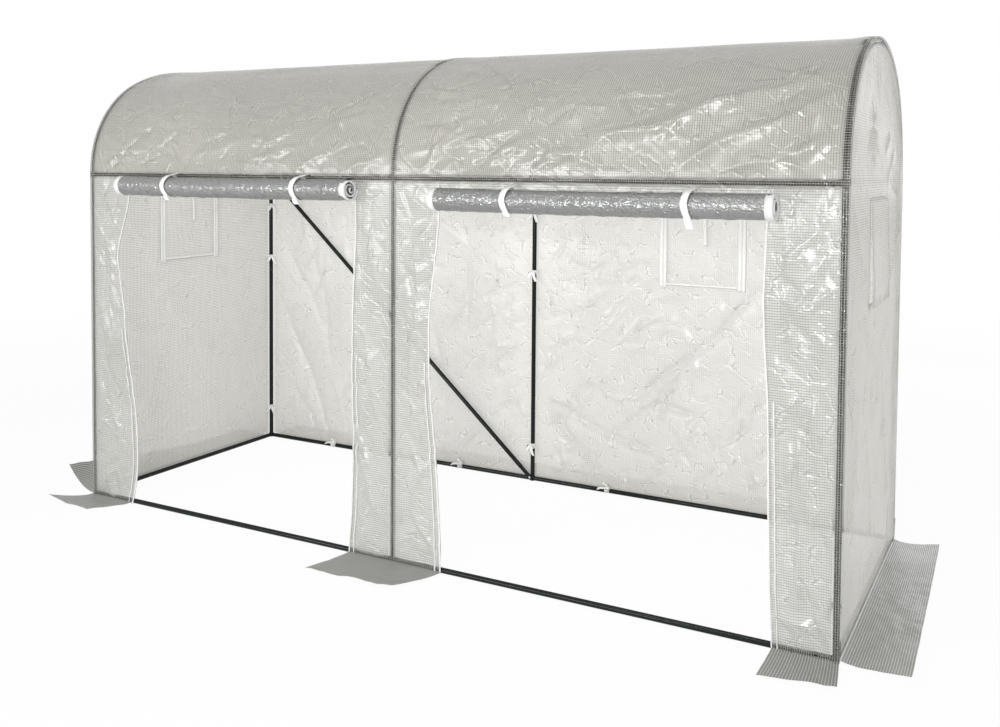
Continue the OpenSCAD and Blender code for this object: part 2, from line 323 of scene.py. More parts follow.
def steel_material():
    """Zinc-plated steel with a brushed, patchy finish."""
    made, tree, shader, place = new_material("zinc plated steel")
    haze = haze_on(tree, place, 0.006)
    colour = mix_colour(tree, haze, (0.45, 0.46, 0.47, 1), (0.66, 0.67, 0.68, 1))
    rough = mix_value(tree, haze, 0.25, 0.42)
    feed(tree, shader, {"Base Color": colour, "Roughness": rough, "Metallic": 1.0})
    return made


# One and the same film in each: the roof's tint is darker as painted shade, the ends' and back wall's tints
# paler as painted light
ROOF_FILM = film_material(
    "roof film", (0.46, 0.45, 0.41), (0.09, 0.085, 0.07), (1.0, 0.5), (0.0, 0.90, 0.97),
    (0.06, 0.35, 0.5, 0.35), 0.20, 0.20)
FILM = film_material(
    "front film", (0.60, 0.60, 0.58), (0.12, 0.12, 0.105), (0.5, 1.0), (0.0, 0.88, 0.97),
    (0.05, 0.40, 0.5, 0.45), 0.20, 0.25)
END_FILM = film_material(
    "end film", (0.83, 0.82, 0.78), (0.08, 0.075, 0.055), (1.0, 1.0), (0.0, 0.78, 0.95),
    (0.07, 0.20, 0.5, 0.45), 0.28, 0.30)
WALL_FILM = film_material(
    "wall film", (0.74, 0.73, 0.70), (0.27, 0.26, 0.235), (0.7, 0.7), (0.0, 0.80, 0.92),
    (0.05, 0.50, 0.5, 0.70), 0.24, 0.30)
ROLLED_FILM = film_material(
    "rolled film", (0.24, 0.245, 0.24), (0.29, 0.295, 0.29), (0.2, 0.2), (1.0, 1.0, 1.0),
    (0.018, 0.90, 3.5, 0.5), 0.13, 0, metallic=0.5)
SKIRT_FILM = film_material(
    "skirt film", (0.15, 0.155, 0.14), (0.55, 0.56, 0.53), (0.15, 1.0), (0.9, 0.9, 0.97),
    (0.08, 0.10, 0.5, 0.18), 0.42, 0)
FRONT_SKIRT_FILM = film_material(
    "front skirt film", (0.13, 0.135, 0.12), (0.48, 0.49, 0.46), (1.0, 0.15), (0.9, 0.9, 0.97),
    (0.08, 0.10, 0.5, 0.18), 0.42, 0)
WEBBING = webbing_material("white webbing", (0.92, 0.92, 0.91), 0.0022, 0.1)
TAPE = webbing_material("white sewn tape", (0.90, 0.90, 0.89), 0.0016, 0.2)
TUBE = tube_material()
BLOCK = block_material()
STEEL = steel_material()


# Making of pieces and sheets

def mesh_of(name, bm):
    mesh = bpy.data.meshes.new(name)
    bm.to_mesh(mesh)
    bm.free()
    return mesh


def add_to_scene(name, data):
    made = bpy.data.objects.new(name, data)
    bpy.context.scene.collection.objects.link(made)
    return made


def finish_piece(name, bm, material, thickness=0):
    """Makes a smooth-shaded piece of a bmesh, riding on the frame."""
    mesh = mesh_of(name, bm)
    mesh.shade_smooth()
    mesh.materials.append(material)
    piece = add_to_scene(name, mesh)
    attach(piece, "root")
    if thickness:
        body = piece.modifiers.new("thickness", "SOLIDIFY")
        body.thickness = thickness
        body.offset = 0
    return piece


def points_of(mesh):
    co = np.empty(len(mesh.vertices) * 3)
    mesh.vertices.foreach_get("co", co)
    return co.reshape(-1, 3)


def lay_flat_map(mesh):
    """Gives a mesh that is still flat a UV map in metres."""
    layer = mesh.uv_layers.new(name="flat")
    corners = np.empty(len(mesh.loops), np.int32)
    mesh.loops.foreach_get("vertex_index", corners)
    layer.data.foreach_set("uv", points_of(mesh)[corners, :2].ravel())


def extent(low, high):
    return high[0] - low[0], high[1] - low[1]


def flat_grid(low, high, cells):
    """Grid of faces between two corners of a flat pattern."""
    bm = bmesh.new()
    bmesh.ops.create_grid(bm, x_segments=cells[0], y_segments=cells[1], size=0.5)
    bmesh.ops.scale(bm, vec=(*extent(low, high), 1), verts=bm.verts)
    middle = ((low[0] + high[0]) / 2, (low[1] + high[1]) / 2, 0)
    bmesh.ops.translate(bm, vec=middle, verts=bm.verts)
    return bm


def cut_opening(bm, opening):
    """Cuts a rectangle out of a flat pattern."""
    u0, v0, u1, v1 = opening
    for place, way in (((u0, 0), (1, 0)), ((u1, 0), (1, 0)), ((0, v0), (0, 1)), ((0, v1), (0, 1))):
        geometry = bm.verts[:] + bm.edges[:] + bm.faces[:]
        bmesh.ops.bisect_plane(bm, geom=geometry, dist=1e-6, plane_co=(*place, 0), plane_no=(*way, 0))
    inside = []
    for face in bm.faces:
        u, v, _ = face.calc_center_median()
        if u0 < u < u1 and v0 < v < v1:
            inside.append(face)
    bmesh.ops.delete(bm, geom=inside, context="FACES")


def move_points(piece, where):
    """Moves each point of a flat sheet to the place that where(u, v) gives."""
    flat = points_of(piece.data)
    placed = np.column_stack(np.broadcast_arrays(*where(flat[:, 0], flat[:, 1])))
    piece.data.vertices.foreach_set("co", placed.ravel())
    piece.data.update()


def arch_gap(y, z):
    """Distance from the line of a hoop, in its own plane."""
    away = np.abs(y)
    straight = np.abs(away - POST_Y)
    shoulder = np.abs(np.hypot(away - POST_Y + SHOULDER_RADIUS, z - SPRING_Z) - SHOULDER_RADIUS)
    across, up = away - TUBE_R, z - RIDGE_Z + CROWN_RADIUS
    crown = np.abs(np.hypot(across, up) - CROWN_RADIUS)
    bent = np.where(across < up / math.tan(CHANGE), crown, shoulder)
    return np.where(z < SPRING_Z, straight, bent)


def mark_touching(piece):
    """Stores where a sheet lies on a tube, 1 at the tube and 0 from about a tube's width away."""
    x, y, z = points_of(piece.data).T
    wall = np.abs(y) - POST_Y
    gaps = [np.hypot(x - hoop, arch_gap(y, z)) for hoop in HOOPS]
    gaps += [np.hypot(wall, z - EAVE_Z), np.hypot(wall, z - SILL_Z)]
    gaps += [np.hypot(y, z - RIDGE_Z), np.hypot(np.abs(x) - HOOP_X, z - SILL_Z)]
    layer = piece.data.attributes.new("touch", "FLOAT", "POINT")
    layer.data.foreach_set("value", 1 - ease(np.min(gaps, axis=0) - CLEAR_REACH, CLEAR_FADE))


def film_sheet(name, low, high, cells, where, material, outline=None, openings=(), thickness=0):
    """A sheet cut flat, then hung where where(u, v) says."""
    bm = flat_grid(low, high, cells)
    if outline:
        for vert in bm.verts:
            vert.co.x, vert.co.y = outline(vert.co.x, vert.co.y)
    for opening in openings:
        cut_opening(bm, opening)
    piece = finish_piece(name, bm, material, thickness)
    lay_flat_map(piece.data)
    move_points(piece, where)
    mark_touching(piece)
    return piece


def cells_for(low, high, cell=CELL):
    return [round(side / cell) for side in extent(low, high)]


# Folds of the film, as heights over the flat pattern

def swell(u, v, size, seed):
    """Smooth hollows and bulges, from about -1 to 1."""
    pairs = zip((u / size).tolist(), (v / size).tolist())
    return np.array([noise.noise((a, b, seed)) for a, b in pairs])


def facets(u, v, size, seed):
    """Crumpled film: 0 along straight creases and up to about 1 between them."""
    pairs = zip((u / size).tolist(), (v / size).tolist())
    gaps = []
    for a, b in pairs:
        near = noise.voronoi((a, b, seed))[0]
        gaps.append(near[1] - near[0])
    return np.array(gaps)


def fold(u, v, start, end, width, height):
    """A fold along a line of the flat pattern, sharp on its top and fading towards its ends."""
    run = np.subtract(end, start)
    length = math.hypot(*run)
    along = ((u - start[0]) * run[0] + (v - start[1]) * run[1]) / length ** 2
    off = ((u - start[0]) * run[1] - (v - start[1]) * run[0]) / length
    off += 0.35 * width * np.sin(along * 9 + start[0] * 7)
    fade = np.clip(along * (1 - along) * 5, 0, 1)
    return height * fade * np.exp(-np.abs(off) / width)


def folds(u, v, lines):
    return sum(fold(u, v, *line) for line in lines)


def scattered(u, v, low, high, count, lean, lengths, widths, heights, seed):
    """Many short folds between two corners of the pattern. lean is their usual angle and its spread."""
    chance = np.random.default_rng(seed)
    total = np.zeros_like(u)
    for _ in range(count):
        middle = chance.uniform(low, high)
        angle = chance.normal(*lean)
        reach = chance.uniform(*lengths) / 2 * np.array((math.cos(angle), math.sin(angle)))
        height = chance.uniform(*heights) * chance.choice((-1, 1))
        total += fold(u, v, middle - reach, middle + reach, chance.uniform(*widths), height)
    return total


def ease(distance, reach):
    """0 at a tube that holds the film, 1 beyond its reach."""
    share = np.clip(distance / reach, 0, 1)
    return share * share * (3 - 2 * share)


def hoop_distance(x):
    return np.min([np.abs(x - hoop) for hoop in HOOPS], axis=0)


def held(height, slack):
    """Film can only rise where a tube holds it from inside."""
    return np.where(height < 0, height * slack, height * (0.08 + 0.92 * slack))


# The roof

def over_arch(s):
    """Depth and height of the film over the hoops at a distance s from the ridge, with its normal."""
    away = np.abs(s)
    crown_lean = np.clip((away - TUBE_R) / CROWN, 0, math.pi / 2 - CHANGE)
    lean = crown_lean + np.clip((away - TUBE_R - CROWN_ARC) / SHOULDER, 0, CHANGE)
    below = np.maximum(away - TUBE_R - CROWN_ARC - SHOULDER_ARC, 0)
    y = np.minimum(away, TUBE_R) + CROWN * np.sin(crown_lean)
    y += SHOULDER * (np.sin(lean) - np.sin(crown_lean))
    z = RIDGE_Z + FILM_OFF - CROWN * (1 - np.cos(crown_lean))
    z -= SHOULDER * (np.cos(crown_lean) - np.cos(lean)) + below
    side = np.sign(s)
    return y * side, z, np.sin(lean) * side, np.cos(lean)


ROOF_HALF = TUBE_R + CROWN_ARC + SHOULDER_ARC
ROOF_LAP = 0.026
LAP_GAP = 0.0012

# Folds of the roof: start and end as length and distance from the ridge, then width and height
ROOF_FOLDS = (
    ((1.52, -0.44), (1.02, -0.62), 0.030, 0.022),
    ((1.26, -0.55), (0.70, -0.70), 0.036, 0.022),
    ((1.52, -0.52), (1.00, -0.78), 0.030, 0.024),
    ((1.52, -0.66), (1.08, -0.82), 0.026, 0.020),
    ((1.00, -0.62), (0.60, -0.74), 0.020, 0.007),
    ((0.56, -0.70), (0.86, -0.80), 0.016, 0.008),
    ((0.30, -0.76), (0.58, -0.66), 0.016, 0.007),
    ((0.05, -0.60), (0.45, -0.72), 0.020, 0.007),
    ((0.02, -0.74), (0.32, -0.66), 0.014, 0.006),
    ((-1.50, -0.61), (-1.20, -0.76), 0.016, 0.010),
    ((-1.50, -0.68), (-1.28, -0.76), 0.014, 0.009),
    ((-1.36, -0.48), (-1.02, -0.54), 0.012, 0.004),
    ((-1.22, -0.56), (-0.92, -0.58), 0.012, 0.004),
    ((-0.46, -0.80), (-0.24, -0.70), 0.014, 0.007),
    ((-0.22, -0.80), (-0.02, -0.72), 0.014, 0.008),
    ((-0.90, -0.70), (-0.40, -0.62), 0.020, 0.006),
    ((0.06, -0.35), (0.60, -0.42), 0.030, 0.005),
    ((-1.45, 0.60), (-0.90, 0.76), 0.022, 0.011),
    ((1.45, 0.55), (0.95, 0.74), 0.022, 0.011),
    ((0.10, 0.72), (0.70, 0.60), 0.024, 0.009),
    ((-0.10, 0.70), (-0.70, 0.58), 0.024, 0.009),
    ((0.30, 0.30), (1.00, 0.40), 0.030, 0.005),
    ((-1.20, 0.35), (-0.40, 0.28), 0.030, 0.005),
)


def roof_place(u, v):
    low = ease(np.abs(v), ROOF_HALF)
    slack = ease(hoop_distance(u), 0.12) * ease(np.abs(v), 0.10) * ease(np.abs(ROOF_HALF - np.abs(v)), 0.06)
    height = 0.006 * swell(u, v, 0.30, 3.1) - 0.004 + 0.004 * low * (facets(u, v, 0.17, 1.7) - 0.3)
    short = ((0.05, 0.30), (0.005, 0.012), (0.003, 0.009))
    height += scattered(u, v, (0.05, -0.80), (1.45, -0.38), 90, (0.25, 0.45), *short, 11)
    height += scattered(u, v, (-1.45, -0.80), (-0.05, -0.50), 70, (0.0, 0.5), *short, 12)
    height += scattered(u, v, (-1.45, 0.40), (1.45, 0.80), 120, (0.0, 0.5), *short, 13)
    height = held(height, slack) + folds(u, v, ROOF_FOLDS) * (0.3 + 0.7 * slack)
    lap = np.where(np.abs(v) > ROOF_HALF, LAP_GAP, 0)
    y, z, normal_y, normal_z = over_arch(v)
    height = np.maximum(height, -0.02) + lap
    return u, y + normal_y * height, z + normal_z * height


def make_roof():
    low = (-END_X, -ROOF_HALF - ROOF_LAP)
    high = (END_X, ROOF_HALF + ROOF_LAP)
    roof = film_sheet("roof_film", low, high, cells_for(low, high), roof_place, ROOF_FILM)
    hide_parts("roof_sheet")


# The back wall

WINDOW = (0.336, 0.326)
BACK_WINDOW_X, BACK_WINDOW_Z = 0.755, 1.075
BACK_WINDOWS = ((-BACK_WINDOW_X, BACK_WINDOW_Z), (BACK_WINDOW_X, BACK_WINDOW_Z))
END_WINDOW_Z = centre("left_window").z

# Folds of the back wall: start and end as length and height, then width and outward height
BACK_FOLDS = (
    ((1.02, 0.95), (0.74, 0.62), 0.014, 0.010),
    ((0.80, 0.70), (0.45, 0.40), 0.014, 0.012),
    ((0.70, 0.62), (0.56, 0.28), 0.010, 0.008),
    ((0.28, 0.90), (0.55, 1.00), 0.010, 0.006),
    ((-0.24, 0.27), (0.02, 0.40), 0.010, 0.007),
    ((-0.33, 1.02), (-0.35, 0.62), 0.010, 0.006),
    ((-0.24, 0.82), (-0.20, 0.48), 0.010, 0.006),
    ((-1.44, 0.72), (-1.10, -0.04), 0.024, 0.014),
    ((-1.43, 1.02), (-1.16, 0.56), 0.026, 0.010),
    ((-1.24, 1.00), (-1.12, 0.38), 0.030, 0.010),
    ((-1.38, 0.30), (-1.18, 0.02), 0.020, 0.008),
    ((-0.95, 0.90), (-0.62, 0.30), 0.026, 0.010),
    ((-0.60, 0.95), (-0.45, 0.20), 0.026, 0.009),
    ((1.45, 0.55), (1.15, 0.05), 0.020, 0.010),
    ((1.30, 0.80), (1.20, 0.30), 0.018, 0.008),
    ((0.02, 0.36), (0.32, 0.08), 0.030, 0.020),
    ((0.04, 0.36), (0.64, 0.16), 0.022, 0.014),
    ((0.30, 0.52), (0.05, 0.20), 0.016, 0.010),
)


def window_opening(u, v):
    return u - WINDOW[0] / 2, v - WINDOW[1] / 2, u + WINDOW[0] / 2, v + WINDOW[1] / 2


def window_distance(u, v, u0, v0):
    """Distance from a window's outline, 0 inside it."""
    across, up = np.abs(u - u0) - WINDOW[0] / 2, np.abs(v - v0) - WINDOW[1] / 2
    return np.hypot(np.maximum(across, 0), np.maximum(up, 0))


def back_place(u, v):
    calm = np.min([window_distance(u, v, *window) for window in BACK_WINDOWS], axis=0)
    slack = (0.1 + 0.9 * ease(calm, 0.10)) * ease(hoop_distance(u), 0.10)
    slack *= ease(SPRING_Z - v, 0.08) * (0.15 + 0.85 * ease(v, 0.10))
    crumpled = 0.35 + 0.65 * ease(u + 0.75, 0.4)
    height = 0.010 * swell(u, v, 0.42, 7.3) + 0.006 * swell(u, v * 0.4, 0.16, 5.5)
    height += crumpled * 0.010 * (facets(u, v, 0.19, 2.6) - 0.3)
    short = ((0.05, 0.28), (0.006, 0.014), (0.006, 0.016))
    height += scattered(u, v, (-0.2, 0.05), (1.45, 1.30), 160, (0.8, 0.9), *short, 21)
    height += scattered(u, v, (-1.45, 0.05), (-0.2, 1.30), 50, (1.4, 0.5), *short, 22)
    height = held(height, slack) + 2 * folds(u, v, BACK_FOLDS) * slack
    return u, FILM_Y + height, v


def make_back_wall():
    low, high = (-END_X, FOOT_Z), (END_X, SPRING_Z)
    cells = cells_for(low, high)
    openings = [window_opening(*window) for window in BACK_WINDOWS]
    wall = film_sheet("back_wall_film", low, high, cells, back_place, WALL_FILM,
                      openings=openings)
    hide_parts("back_wall_sheet")


# The ends

END_CELLS = (150, 180)

# Folds of the ends: start and end as depth and height, then width and outward height
END_FOLDS = (
    ((-0.50, 1.30), (-0.20, 0.95), 0.016, 0.008),
    ((0.50, 1.28), (0.22, 0.98), 0.016, 0.008),
    ((-0.52, 0.55), (-0.20, 0.25), 0.020, 0.009),
    ((0.30, 0.70), (0.48, 0.20), 0.024, 0.010),
    ((-0.10, 0.80), (-0.30, 0.10), 0.026, 0.010),
    ((0.10, 0.60), (0.05, 0.05), 0.022, 0.008),
)


def arch_top(y):
    """Height of the cover over a place across the greenhouse."""
    away = min(abs(y), FILM_Y)
    if away > TUBE_R + CROWN * math.cos(CHANGE):
        across = away - (POST_Y - SHOULDER_RADIUS)
        return SPRING_Z + math.sqrt(max(SHOULDER ** 2 - across ** 2, 0))
    across = max(away - TUBE_R, 0)
    return RIDGE_Z - CROWN_RADIUS + math.sqrt(CROWN ** 2 - across ** 2)


def end_outline(u, v):
    """Turns a square pattern into the outline of an end. Its columns close up towards the sides."""
    y = FILM_Y * math.sin(u * math.pi / 2)
    return y, FOOT_Z + v * (arch_top(y) - FOOT_Z)


def end_place(side):
    def place(u, v):
        edge = np.array([arch_top(y) for y in u.tolist()]) - v
        calm = 0.1 + 0.9 * ease(window_distance(u, v, 0, END_WINDOW_Z), 0.10)
        slack = calm * ease(FILM_Y - np.abs(u), 0.10) * ease(edge, 0.12) * (0.15 + 0.85 * ease(v, 0.10))
        height = 0.010 * swell(u, v, 0.45, 2.2 + side) + 0.005 * (facets(u, v, 0.22, 6.1 + side) - 0.3)
        short = ((0.06, 0.25), (0.006, 0.012), (0.003, 0.008))
        height += scattered(u, v, (-0.5, 0.05), (0.5, 1.6), 70, (1.2, 0.7), *short, 32 + side)
        height = held(height, slack) + folds(u * -side, v, END_FOLDS) * slack
        return side * (END_X + height), u, v
    return place


def make_end(side, name):
    end = film_sheet(name + "_end_film", (-1, 0), (1, 1), END_CELLS, end_place(side), END_FILM,
                     outline=end_outline, openings=[window_opening(0, END_WINDOW_Z)])
    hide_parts(name + "_end_sheet")


# The front: strips beside the doorways, and the headers that the rolled doors hang from

DOOR_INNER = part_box("front_middle_strip")[1].x
DOOR_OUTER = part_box("front_right_strip")[0].x

# Free edges of the strips as they hang: height and length along the front
LEFT_EDGE = ((0.0, -1.275), (0.15, -1.247), (0.30, -1.250), (0.63, -1.284), (0.84, -1.307),
             (1.02, -1.352), (1.14, -1.322), (1.26, -1.272), (1.36, -1.285))
MIDDLE_LEFT_EDGE = ((0.0, -0.182), (0.20, -0.174), (0.40, -0.167), (0.80, -0.161), (1.36, -0.155))
MIDDLE_RIGHT_EDGE = ((0.0, 0.205), (0.20, 0.192), (0.36, 0.181), (0.70, 0.160), (0.90, 0.160),
                     (1.07, 0.177), (1.24, 0.193), (1.36, 0.192))
RIGHT_EDGE = ((0.0, 1.323), (0.15, 1.316), (0.44, 1.305), (0.72, 1.296), (0.87, 1.284), (1.02, 1.279),
              (1.17, 1.287), (1.36, 1.290))
EDGE_SOFTNESS = 0.05


def edge_line(points, v):
    """Soft line through the places of a free edge."""
    heights, places = zip(*points)
    steps = np.linspace(-EDGE_SOFTNESS, EDGE_SOFTNESS, 9)
    return np.mean([np.interp(v + step, heights, places) for step in steps], axis=0)


# Folds of the strips: start and end as length and height, then width and outward height
LEFT_FOLDS = (
    ((-1.50, 1.22), (-1.35, 0.95), 0.020, 0.014),
    ((-1.49, 0.88), (-1.33, 0.58), 0.020, 0.016),
    ((-1.48, 0.52), (-1.30, 0.20), 0.020, 0.014),
    ((-1.44, 0.95), (-1.40, 0.40), 0.016, 0.010),
)
MIDDLE_FOLDS = (
    ((-0.16, 1.24), (-0.03, 0.98), 0.018, 0.012),
    ((-0.13, 0.85), (-0.05, 0.45), 0.016, 0.012),
    ((-0.16, 0.40), (-0.04, 0.12), 0.020, 0.014),
    ((0.17, 1.22), (0.03, 0.98), 0.018, 0.014),
    ((0.13, 0.95), (0.05, 0.55), 0.018, 0.012),
    ((0.17, 0.42), (0.04, 0.16), 0.020, 0.014),
)
RIGHT_FOLDS = (
    ((1.50, 1.33), (1.33, 1.08), 0.030, 0.018),
    ((1.47, 1.18), (1.34, 0.92), 0.018, 0.013),
    ((1.47, 0.98), (1.40, 0.50), 0.018, 0.013),
    ((1.38, 0.62), (1.45, 0.20), 0.020, 0.012),
    ((1.34, 0.36), (1.40, 0.06), 0.018, 0.010),
)


STRIP_SINK = 0.008


def strip_ripple(x, v, loose, post, seed, lines):
    """How far a strip stands out from the front: still at its post, rippled at its loose edge."""
    height = 0.014 * swell(x * 1.5, v, 0.26, seed) + 0.012 * (facets(x * 1.4, v, 0.13, seed + 2) - 0.3)
    low, high = (float(x.min()), 0), (float(x.max()), SPRING_Z)
    short = ((0.06, 0.32), (0.006, 0.013), (0.005, 0.014))
    height += scattered(x, v, low, high, 55, (1.45, 0.55), *short, round(seed * 10))
    ripple = 0.010 * np.sin(v * 6 + seed) * loose ** 2 * ease(SPRING_Z - v, 0.25)
    taped = 1 - 0.8 * ease(loose - 0.70, 0.28)
    out = (height + folds(x, v, lines)) * (0.25 + 0.75 * loose) * taped + ripple
    near_tube = ease(np.abs(x - post), 0.06) * ease(SPRING_Z - v, 0.05) * ease(v, 0.03)
    return np.maximum(held(out, near_tube), -STRIP_SINK)


def corner_strip_place(side, edge, seed, lines):
    corner, post = side * END_X, side * HOOP_X

    def place(u, v):
        share = np.abs(u - corner) / (END_X - DOOR_OUTER)
        x = corner + share * (edge_line(edge, v) - corner)
        at_corner = ease(END_X - np.abs(x) + 0.002, 0.03)
        return x, -FILM_Y - strip_ripple(x, v, share, post, seed, lines) * at_corner, v
    return place


left_strip_place = corner_strip_place(-1, LEFT_EDGE, 3.3, LEFT_FOLDS)
right_strip_place = corner_strip_place(1, RIGHT_EDGE, 6.6, RIGHT_FOLDS)


def middle_strip_place(u, v):
    share = np.abs(u) / DOOR_INNER
    edge = np.where(u < 0, -edge_line(MIDDLE_LEFT_EDGE, v), edge_line(MIDDLE_RIGHT_EDGE, v))
    x = np.sign(u) * share * edge
    return x, -FILM_Y - strip_ripple(x, v, share, 0, 9.4, MIDDLE_FOLDS), v


STRIP_CELL = 0.0055
FRONT_TOP = EAVE_Z - TUBE_R


def make_strip(name, low_x, high_x, where):
    low, high = (low_x, FOOT_Z), (high_x, FRONT_TOP)
    cells = cells_for(low, high, STRIP_CELL)
    strip = film_sheet(name + "_film", low, high, cells, where, FILM)
    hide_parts(name)


def make_header(name):
    low_corner, high_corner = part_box(name)
    low, high = (low_corner.x, low_corner.z), (high_corner.x, FRONT_TOP)

    def place(u, v):
        out = 0.0025 * swell(u, v, 0.09, 5.2) + 0.002 * (facets(u, v, 0.06, 1.1) - 0.3)
        return u, -FILM_Y - np.maximum(out, -0.0005) * ease(SPRING_Z - v, 0.02), v

    cells = cells_for(low, high, STRIP_CELL)
    header = film_sheet(name + "_film", low, high, cells, place, FILM)
    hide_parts(name)


# The rolled-up doors

ROLL_RADIUS = 0.040
ROLL_CORE = 0.008
ROLL_PITCH = 0.0037
ROLL_LENGTH_CELLS = 150
ROLL_TURN_CELLS = 40
DOOR_LENGTH = math.pi * (ROLL_RADIUS ** 2 - ROLL_CORE ** 2) / ROLL_PITCH
ROLL_SLIDE = 0.022
ROLL_Y = -FILM_Y - ROLL_RADIUS - 0.004


def spiral(s, radius, pitch):
    """Angle and radius of a roll after a length s of sheet has been wound from its outside inwards."""
    turn = (radius - np.sqrt(np.maximum(radius ** 2 - pitch * s / math.pi, 1e-9))) * 2 * math.pi / pitch
    return turn, radius - pitch * turn / (2 * math.pi)


def roll_place(node, seed):
    middle = centre(node)
    low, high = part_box(node)

    def place(u, v):
        turn, radius = spiral(v, ROLL_RADIUS, ROLL_PITCH)
        around = turn * 0.04
        crumple = facets(u, around * 1.5, 0.034, seed + 1) - 0.35
        wrinkle = 0.0016 * swell(u, around, 0.05, seed) + 0.0028 * crumple
        wrinkle -= 0.0010 * np.maximum(np.sin(u * 40 + turn * 2), 0) ** 6
        bow = 0.003 * np.sin((u - low.x) / (high.x - low.x) * math.pi)
        radius += wrinkle * np.exp(-turn / (2 * math.pi))
        off = u - middle.x
        telescope = 0.012 * (turn / (2 * math.pi * 8)) * np.sign(off) * ease(np.abs(off), 0.5)
        y = ROLL_Y + radius * np.cos(turn)
        return u + telescope + ROLL_SLIDE, y, middle.z - bow - radius * np.sin(turn)
    return place


def make_roll(node, seed):
    low_corner, high_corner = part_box(node)
    low, high = (low_corner.x, 0), (high_corner.x, DOOR_LENGTH)
    turns = (ROLL_RADIUS - ROLL_CORE) / ROLL_PITCH
    cells = (ROLL_LENGTH_CELLS, round(turns * ROLL_TURN_CELLS))
    roll = film_sheet(node + "_film", low, high, cells, roll_place(node, seed), ROLLED_FILM)
    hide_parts(node)


# Ribbons: tapes, straps and ties

RIBBON_THICKNESS = 0.0012


def new_ribbons():
    bm = bmesh.new()
    bm.loops.layers.uv.new("flat")
    return bm


def add_ribbon(bm, where, length, width, steps):
    """Adds a ribbon. where(t, w) is its place at a share t of its length, a distance w off its middle."""
    layer = bm.loops.layers.uv["flat"]
    made = bmesh.ops.create_grid(bm, x_segments=steps, y_segments=2, size=0.5)["verts"]
    for face in {face for vert in made for face in vert.link_faces}:
        for loop in face.loops:
            loop[layer].uv = loop.vert.co.x * length, loop.vert.co.y * width
    for vert in made:
        vert.co = where(vert.co.x + 0.5, vert.co.y * width)


# White tapes along the doorways: the outer line of each edge, then the inner one

TAPE_WIDTHS = (0.0045, 0.003)
TAPE_LINES = (0.002, 0.021)
TAPE_TOPS = (FRONT_TOP - 0.01, 0.72)
TAPE_FOOT = 0.004
TAPE_RISE = 0.0038
TAPE_THICKNESS = 0.0022
TAPE_CELLS = (2, 170)


def on_strip(strip):
    """Places of a tape that is sewn on a strip."""
    def place(u, v):
        x, y, z = strip(u, v)
        return x, y - TAPE_RISE, z
    return place


def make_door_edges():
    """Two sewn lines along each free edge, as the zips of the doors leave them."""
    strips = (
        ("left_doorway_left", -DOOR_OUTER, -1, left_strip_place),
        ("left_doorway_right", -DOOR_INNER, 1, middle_strip_place),
        ("right_doorway_left", DOOR_INNER, -1, middle_strip_place),
        ("right_doorway_right", DOOR_OUTER, 1, right_strip_place),
    )
    for name, edge, inwards, strip in strips:
        for number, (inset, width, top) in enumerate(zip(TAPE_LINES, TAPE_WIDTHS, TAPE_TOPS)):
            middle = edge + inwards * inset
            low, high = (middle - width / 2, TAPE_FOOT), (middle + width / 2, top)
            film_sheet(f"{name}_tape_{number}", low, high, TAPE_CELLS, on_strip(strip), TAPE,
                       thickness=TAPE_THICKNESS)


# White edge tape at the ends of the rolls

END_TAPE_RADIUS = 0.0412
END_TAPE_WIDTH = 0.024
# Turns, pitch, thickness and wobble of an edge that is wound tight, and of one that has come loose
TIGHT_END = (4.0, 0.0082, 0.0040, 0.015)
LOOSE_END = (2.8, 0.0135, 0.0060, 0.07)


def end_tape_place(end, side, height, turns, pitch, wobble):
    def place(t, w):
        angle = t * turns * 2 * math.pi
        radius = (END_TAPE_RADIUS - pitch * t * turns) * (1 + wobble * math.sin(angle * 2 + 1))
        x = end + ROLL_SLIDE + side * (0.004 * math.sin(angle * 0.5) * t - 0.002) + w
        return x, ROLL_Y + radius * math.cos(angle), height - radius * math.sin(angle)
    return place


def make_roll_ends():
    for node in ("left_door_roll", "right_door_roll"):
        low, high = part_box(node)
        for side, word, end in ((-1, "left", low.x), (1, "right", high.x)):
            is_loose = (node, word) == ("left_door_roll", "right")
            turns, pitch, thickness, wobble = LOOSE_END if is_loose else TIGHT_END
            bm = new_ribbons()
            place = end_tape_place(end, side, centre(node).z, turns, pitch, wobble)
            add_ribbon(bm, place, 0.6, END_TAPE_WIDTH, round(turns * 40))
            finish_piece(f"{node}_end_tape_{word}", bm, TAPE, thickness)


# Ties round the rolls, with hanging tails

TIE_RADIUS = ROLL_RADIUS + 0.0022
ROLL_TIE_WIDTH = 0.021
ROLL_TIE_THICKNESS = 0.0014
TIE_SPAN = (math.radians(75), math.radians(-50))
# Shares of a tie's length where it meets the roll and leaves it, and how far it sways along the front
MEETS_ROLL, LEAVES_ROLL = 0.2, 0.6
TIE_SHARES = (0, MEETS_ROLL, 0.42, LEAVES_ROLL, 1)
TIE_SWAY = (0.004, 0.002, -0.004, 0.002, 0.014)
# Length along the front and height of the tail's end, for each tie
ROLL_TIES = {
    "left_door_roll": ((-1.008, 1.252), (-0.374, 1.249)),
    "right_door_roll": ((0.476, 1.228), (1.071, 1.210)),
}


def around_roll(angle, height):
    """Depth and height of a tie at an angle up from the front of a roll."""
    return ROLL_Y - TIE_RADIUS * math.cos(angle), height + TIE_RADIUS * math.sin(angle)


